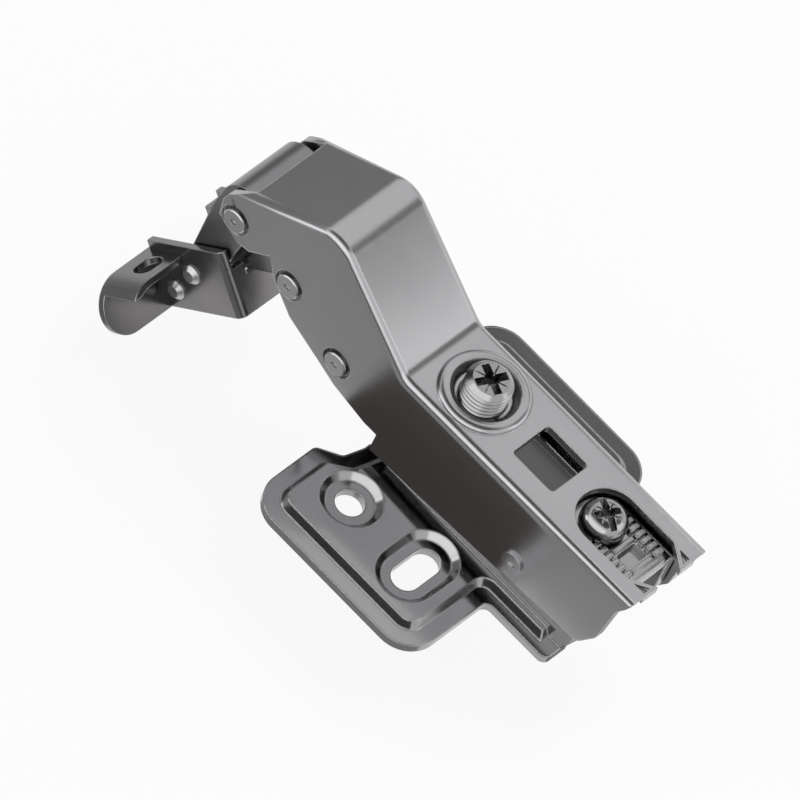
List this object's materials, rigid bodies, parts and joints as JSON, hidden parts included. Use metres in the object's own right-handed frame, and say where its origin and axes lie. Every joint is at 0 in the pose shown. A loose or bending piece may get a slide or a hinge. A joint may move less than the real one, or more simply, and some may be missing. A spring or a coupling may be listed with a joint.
{
  "type": "concealed hydraulic hinge",
  "caption": "Concealed soft-close hinge for narrow aluminium door frames, with a cranked arm, a tall winged mounting plate, adjusting screws and a built-in damper.",
  "frame": {"origin": "centre of the four fixing points of the mounting plate, on the cabinet panel's surface", "axes": "+Z out of the panel, +X to the back of the cabinet along the arm, +Y along the cabinet's edge"},
  "size_m": [0.086, 0.0492, 0.0409],
  "materials": {
    "plate_metal": "satin black-nickel plating",
    "arm_metal": "satin black-nickel plating",
    "link_metal": "satin black-nickel plating",
    "bracket_metal": "glossy black-nickel plating",
    "rivet_metal": "satin",
    "screw_metal": "bright nickel plating",
    "damper_metal": "drawn",
    "spring_metal": "oiled",
    "dark_plastic": "matt"
  },
  "bodies": {
    "plate": {"mounting_plate": "plate_metal", "clamp_plate": "plate_metal"},
    "clamp": {"clamp_screw": "screw_metal"},
    "arm": {"hinge_arm": "arm_metal", "tip_rivet": "rivet_metal", "head_rivet": "rivet_metal", "damper_rivet": "rivet_metal", "guide_stud_near": "rivet_metal", "guide_stud_far": "rivet_metal", "damper_cylinder": "damper_metal", "damper_plug": "dark_plastic", "damper_cradle": "dark_plastic", "closing_spring": "spring_metal"},
    "overlay": {"overlay_screw": "screw_metal"},
    "outer": {"outer_link": "link_metal"},
    "bracket": {"frame_bracket": "bracket_metal", "wing_plate": "bracket_metal", "upper_pin_near": "rivet_metal", "upper_pin_far": "rivet_metal", "lower_pin": "rivet_metal"},
    "inner": {"inner_link": "link_metal"},
    "rod": {"damper_rod": "damper_metal", "damper_piston": "dark_plastic", "push_cap": "dark_plastic"}
  },
  "joints": [
    {"name": "clamp_turn", "type": "hinge", "parent": "plate", "child": "clamp", "pos_m": [0.0214, 0, 0.0205], "axis": [0, 0, 1], "continuous": true},
    {"name": "depth_slide", "type": "slide", "parent": "plate", "child": "arm", "axis": [1, 0, 0], "range_m": [-0.003, 0.0005]},
    {"name": "overlay_turn", "type": "hinge", "parent": "arm", "child": "overlay", "pos_m": [-0.0021, 0, 0.0222], "axis": [0, 0, 1], "continuous": true},
    {"name": "outer_pivot", "type": "hinge", "parent": "arm", "child": "outer", "pos_m": [-0.042, 0, 0.0206], "axis": [0, -1, 0], "range_deg": [-4.76, 0]},
    {"name": "door_pivot", "type": "hinge", "parent": "outer", "child": "bracket", "pos_m": [-0.0444, 0, 0.0033], "axis": [0, -1, 0], "range_deg": [-90.25, 0]},
    {"name": "inner_pivot", "type": "hinge", "parent": "bracket", "child": "inner", "pos_m": [-0.0454, 0, -0.00185], "axis": [0, -1, 0], "range_deg": [0, 74.2]},
    {"name": "rod_slide", "type": "slide", "parent": "arm", "child": "rod", "axis": [0.8192, 0, -0.5736], "range_m": [0, 0.0031]}
  ],
  "couplings": [
    {"joint": "outer_pivot", "follows": "door_pivot", "ratio": 0.052632},
    {"joint": "inner_pivot", "follows": "door_pivot", "ratio": -0.82105},
    {"joint": "rod_slide", "follows": "door_pivot", "m_per_rad": -0.0019046}
  ]
}
